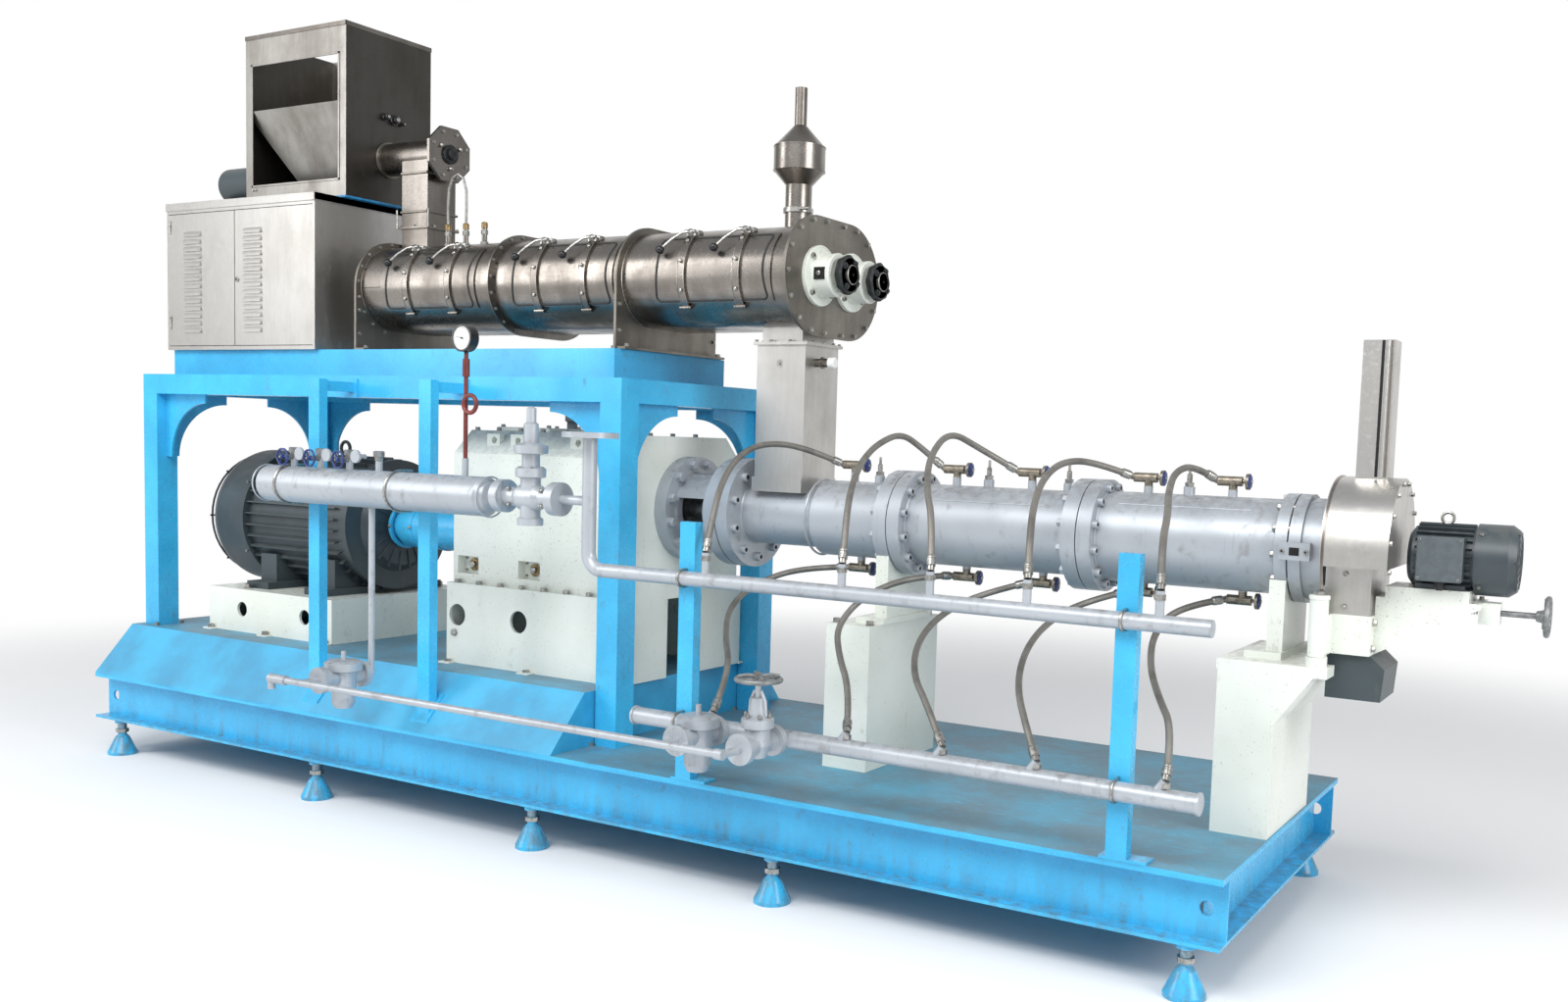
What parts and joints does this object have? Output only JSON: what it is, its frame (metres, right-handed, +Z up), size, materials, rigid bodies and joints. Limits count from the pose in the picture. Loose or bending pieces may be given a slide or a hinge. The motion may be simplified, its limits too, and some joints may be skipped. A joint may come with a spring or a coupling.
{
  "type": "fish feed extruder",
  "caption": "Skid-mounted fish feed extruder with a twin-shaft conditioner, steam-heated barrel and swing-away cutter.",
  "frame": {"origin": "floor level under the middle of the machine's outline, 166 mm in front of the barrel axis", "axes": "+X along the barrel towards the cutter, +Y towards the rear, +Z up"},
  "size_m": [5.989, 1.8688, 3.3],
  "materials": {
    "blue_paint": "gloss",
    "deck_paint": "satin",
    "cream_paint": "gloss",
    "silver_paint": "satin",
    "slate_paint": "satin",
    "stainless": "brushed",
    "motor_grey": "satin",
    "bare_steel": "satin",
    "red_paint": "satin",
    "hose_braid": "satin"
  },
  "bodies": {
    "machine": {"skid_long_channels": "blue_paint", "skid_cross_channels": "blue_paint", "levelling_feet": "blue_paint", "table_posts": "blue_paint", "table_beams": "blue_paint", "table_gussets": "blue_paint", "frame_rails": "blue_paint", "frame_cross_beams": "blue_paint", "pipe_posts": "blue_paint", "coupling_guard": "blue_paint", "deck_plate": "deck_paint", "raised_deck": "deck_paint", "machine_bases": "cream_paint", "gearbox": "cream_paint", "barrel_pillars": "cream_paint", "bearing_housings": "cream_paint", "output_neck": "silver_paint", "barrel_one": "silver_paint", "barrel_two": "silver_paint", "barrel_three": "silver_paint", "barrel_valves": "silver_paint", "die_head": "silver_paint", "steam_vessel": "silver_paint", "reducing_valve": "silver_paint", "upper_header": "silver_paint", "lower_header": "silver_paint", "condensate_line": "silver_paint", "main_motor": "slate_paint", "feeder_motor": "slate_paint", "conditioner_shell": "stainless", "conditioner_plates": "stainless", "conditioner_vent": "stainless", "outlet_chute": "stainless", "feeder": "stainless", "hopper": "stainless", "cabinet": "stainless", "pressure_gauge": "red_paint", "supply_hose_1": "hose_braid", "supply_hose_2": "hose_braid", "supply_hose_3": "hose_braid", "supply_hose_4": "hose_braid", "supply_hose_5": "hose_braid", "return_hose_1": "hose_braid", "return_hose_2": "hose_braid", "return_hose_3": "hose_braid", "return_hose_4": "hose_braid", "return_hose_5": "hose_braid"},
    "cutter_group": {"cutter_arm": "cream_paint", "cutter_hood": "stainless", "discharge_chute": "slate_paint"},
    "cutter_drive": {"cutter_slide": "cream_paint", "cutter_motor": "motor_grey"},
    "cutter_wheel": {"cutter_handwheel": "bare_steel"},
    "extruder_shaft": {"drive_shaft": "bare_steel"},
    "front_shaft": {"front_paddle_shaft": "bare_steel"},
    "rear_shaft": {"rear_paddle_shaft": "bare_steel"},
    "valve_wheel": {"globe_handwheel": "silver_paint"},
    "hatch_left": {"hatch_1": "stainless"},
    "hatch_middle": {"hatch_2": "stainless"},
    "hatch_right": {"hatch_3": "stainless"}
  },
  "joints": [
    {"name": "cutter_swing", "type": "hinge", "parent": "machine", "child": "cutter_group", "pos_m": [2.379, -0.06, 1], "axis": [0, 0, -1], "range_deg": [0, 95]},
    {"name": "cutter_feed", "type": "slide", "parent": "cutter_group", "child": "cutter_drive", "axis": [1, 0, 0], "range_m": [0, 0.018]},
    {"name": "cutter_wheel_turn", "type": "hinge", "parent": "cutter_group", "child": "cutter_wheel", "pos_m": [2.955, 0.166, 1.094], "axis": [1, 0, 0], "range_deg": [-1800, 1800]},
    {"name": "extruder_shaft_turn", "type": "hinge", "parent": "machine", "child": "extruder_shaft", "pos_m": [-0.035, 0.166, 1.25], "axis": [1, 0, 0], "continuous": true},
    {"name": "front_shaft_turn", "type": "hinge", "parent": "machine", "child": "front_shaft", "pos_m": [-0.595, 0.055, 2.14], "axis": [1, 0, 0], "continuous": true},
    {"name": "rear_shaft_turn", "type": "hinge", "parent": "machine", "child": "rear_shaft", "pos_m": [-0.595, 0.277, 2.14], "axis": [1, 0, 0], "continuous": true},
    {"name": "globe_valve_turn", "type": "hinge", "parent": "machine", "child": "valve_wheel", "pos_m": [0.813, -0.733, 0.782], "axis": [0, 0, 1], "range_deg": [-1440, 0]},
    {"name": "hatch_left_open", "type": "hinge", "parent": "machine", "child": "hatch_left", "pos_m": [-1.345, -0.09761, 2.01861], "axis": [1, 0, 0], "range_deg": [0, 100]},
    {"name": "hatch_middle_open", "type": "hinge", "parent": "machine", "child": "hatch_middle", "pos_m": [-0.61, -0.09761, 2.01861], "axis": [1, 0, 0], "range_deg": [0, 100]},
    {"name": "hatch_right_open", "type": "hinge", "parent": "machine", "child": "hatch_right", "pos_m": [0.125, -0.09761, 2.01861], "axis": [1, 0, 0], "range_deg": [0, 100]}
  ],
  "couplings": [
    {"joint": "rear_shaft_turn", "follows": "front_shaft_turn", "ratio": -1}
  ]
}
